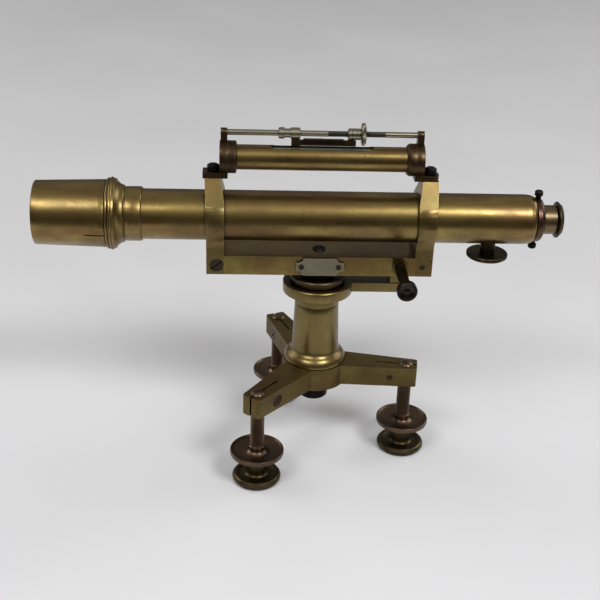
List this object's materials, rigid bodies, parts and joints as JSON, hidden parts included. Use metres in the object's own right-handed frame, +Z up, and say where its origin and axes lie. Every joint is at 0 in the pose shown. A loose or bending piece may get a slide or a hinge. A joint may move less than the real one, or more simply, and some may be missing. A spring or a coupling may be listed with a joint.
{
  "type": "surveying level",
  "caption": "Brass surveying level: a telescope in two wyes on a beam, with a spirit vial above it and a three-armed levelling base.",
  "frame": {"origin": "centre of the mouth of the threaded hole in the black nut under the base, on the spindle's axis", "axes": "+Z up along the spindle, +X along the telescope towards the eyepiece, +Y to the far side of the telescope seen with the objective on the left"},
  "size_m": [0.3258, 0.1382, 0.2229],
  "materials": {
    "brass": "aged lacquered brass, olive brown, worn pale on the highlights",
    "dark_brass": "brown bronzed brass, worn at the edges",
    "bronze": "reddish brown bronze, handled smooth",
    "black_steel": "blackened steel",
    "nickel_silver": "dull nickel silver, slightly yellowed",
    "lens_glass": "clear polished glass",
    "mirror_glass": "old silvered glass",
    "cork": "fine cork"
  },
  "bodies": {
    "base": {"tribrach": "brass", "column": "brass", "arm_clamp_screws": "bronze", "tripod_nut": "black_steel"},
    "clamp_collar": {"clamp_collar": "brass"},
    "beam": {"spindle": "brass", "spindle_nut": "dark_brass", "spindle_screw": "black_steel", "beam": "brass", "tangent_bush": "dark_brass", "nameplate": "nickel_silver", "nameplate_screws": "black_steel", "objective_wye": "brass", "eyepiece_wye": "brass", "wye_pivot_screw": "black_steel", "wye_lock_screw": "black_steel", "main_tube": "brass", "objective_cell": "brass", "objective_crown": "lens_glass", "objective_flint": "lens_glass", "lens_ring": "dark_brass", "draw_bush": "brass", "pinion_bush": "dark_brass", "objective_bracket": "dark_brass", "eyepiece_bracket": "dark_brass", "bracket_screws": "black_steel", "vial_tube": "brass", "vial_glass": "lens_glass", "vial_plugs": "cork", "objective_collar": "dark_brass", "eyepiece_collar": "dark_brass", "mirror_rod": "nickel_silver"},
    "tangent_nut": {"tangent_nut": "brass"},
    "tangent_screw": {"tangent_screw": "bronze", "tangent_knob": "bronze"},
    "sunshade": {"sunshade": "brass"},
    "draw_tube": {"draw_tube": "brass", "focus_rack": "dark_brass", "reticle_ring": "bronze", "reticle_glass": "lens_glass", "reticle_screws": "black_steel", "eyepiece_sleeve": "bronze"},
    "eyepiece": {"eyepiece_tube": "dark_brass", "eyepiece_cap": "dark_brass", "field_lens": "lens_glass", "eye_lens": "lens_glass"},
    "focus_knob": {"focus_pinion": "dark_brass", "focus_knob": "dark_brass"},
    "mirror": {"mirror_frame": "dark_brass", "mirror_glass": "mirror_glass", "mirror_front_hub": "nickel_silver", "mirror_rear_hub": "nickel_silver"},
    "thumb_nut": {"thumb_nut": "nickel_silver"},
    "foot_plate_a": {"foot_plate_a": "dark_brass"},
    "foot_plate_b": {"foot_plate_b": "dark_brass"},
    "foot_plate_c": {"foot_plate_c": "dark_brass"},
    "foot_screw_a": {"foot_screw_a": "bronze"},
    "foot_screw_b": {"foot_screw_b": "bronze"},
    "foot_screw_c": {"foot_screw_c": "bronze"}
  },
  "joints": [
    {"name": "azimuth", "type": "hinge", "parent": "base", "child": "clamp_collar", "pos_m": [0, 0, 0.0765], "axis": [0, 0, 1], "continuous": true},
    {"name": "slow_motion", "type": "hinge", "parent": "clamp_collar", "child": "beam", "pos_m": [0, 0, 0.0926], "axis": [0, 0, 1], "range_deg": [-2.5, 2.5]},
    {"name": "tangent_nut_turn", "type": "hinge", "parent": "clamp_collar", "child": "tangent_nut", "pos_m": [0.0502, 0, 0.0986], "axis": [0, 0, 1], "range_deg": [-2.6, 2.6]},
    {"name": "tangent_screw_turn", "type": "hinge", "parent": "beam", "child": "tangent_screw", "pos_m": [0.0502, -0.03, 0.0986], "axis": [0, 1, 0], "range_deg": [-800, 800]},
    {"name": "sunshade_slide", "type": "slide", "parent": "beam", "child": "sunshade", "axis": [-1, 0, 0], "range_m": [0, 0.01]},
    {"name": "draw_slide", "type": "slide", "parent": "beam", "child": "draw_tube", "axis": [1, 0, 0], "range_m": [0, 0.025]},
    {"name": "focus_turn", "type": "hinge", "parent": "beam", "child": "focus_knob", "pos_m": [0.107, 0, 0.104], "axis": [0, 0, 1], "range_deg": [0, 480]},
    {"name": "eyepiece_slide", "type": "slide", "parent": "draw_tube", "child": "eyepiece", "axis": [1, 0, 0], "range_m": [0, 0.006]},
    {"name": "mirror_tilt", "type": "hinge", "parent": "beam", "child": "mirror", "pos_m": [0, 0, 0.1801], "axis": [1, 0, 0], "range_deg": [-100, 60]},
    {"name": "thumb_nut_turn", "type": "hinge", "parent": "beam", "child": "thumb_nut", "pos_m": [0.024, 0, 0.1801], "axis": [1, 0, 0], "range_deg": [0, 360]},
    {"name": "foot_a_lift", "type": "slide", "parent": "base", "child": "foot_plate_a", "axis": [0, 0, 1], "range_m": [0, 0.012]},
    {"name": "foot_a_turn", "type": "hinge", "parent": "foot_plate_a", "child": "foot_screw_a", "pos_m": [-0.03762, -0.04764, 0], "axis": [0, 0, 1], "range_deg": [0, 4331]},
    {"name": "foot_b_lift", "type": "slide", "parent": "base", "child": "foot_plate_b", "axis": [0, 0, 1], "range_m": [0, 0.012]},
    {"name": "foot_b_turn", "type": "hinge", "parent": "foot_plate_b", "child": "foot_screw_b", "pos_m": [0.06006, -0.00876, 0], "axis": [0, 0, 1], "range_deg": [0, 4331]},
    {"name": "foot_c_lift", "type": "slide", "parent": "base", "child": "foot_plate_c", "axis": [0, 0, 1], "range_m": [0, 0.012]},
    {"name": "foot_c_turn", "type": "hinge", "parent": "foot_plate_c", "child": "foot_screw_c", "pos_m": [-0.02244, 0.0564, 0], "axis": [0, 0, 1], "range_deg": [0, 4331]}
  ],
  "couplings": [
    {"joint": "tangent_nut_turn", "follows": "slow_motion", "ratio": 1},
    {"joint": "tangent_screw_turn", "follows": "slow_motion", "ratio": 315.42},
    {"joint": "focus_turn", "follows": "draw_slide", "rad_per_m": 333.33},
    {"joint": "foot_a_turn", "follows": "foot_a_lift", "rad_per_m": 6283.2},
    {"joint": "foot_b_turn", "follows": "foot_b_lift", "rad_per_m": 6283.2},
    {"joint": "foot_c_turn", "follows": "foot_c_lift", "rad_per_m": 6283.2}
  ]
}
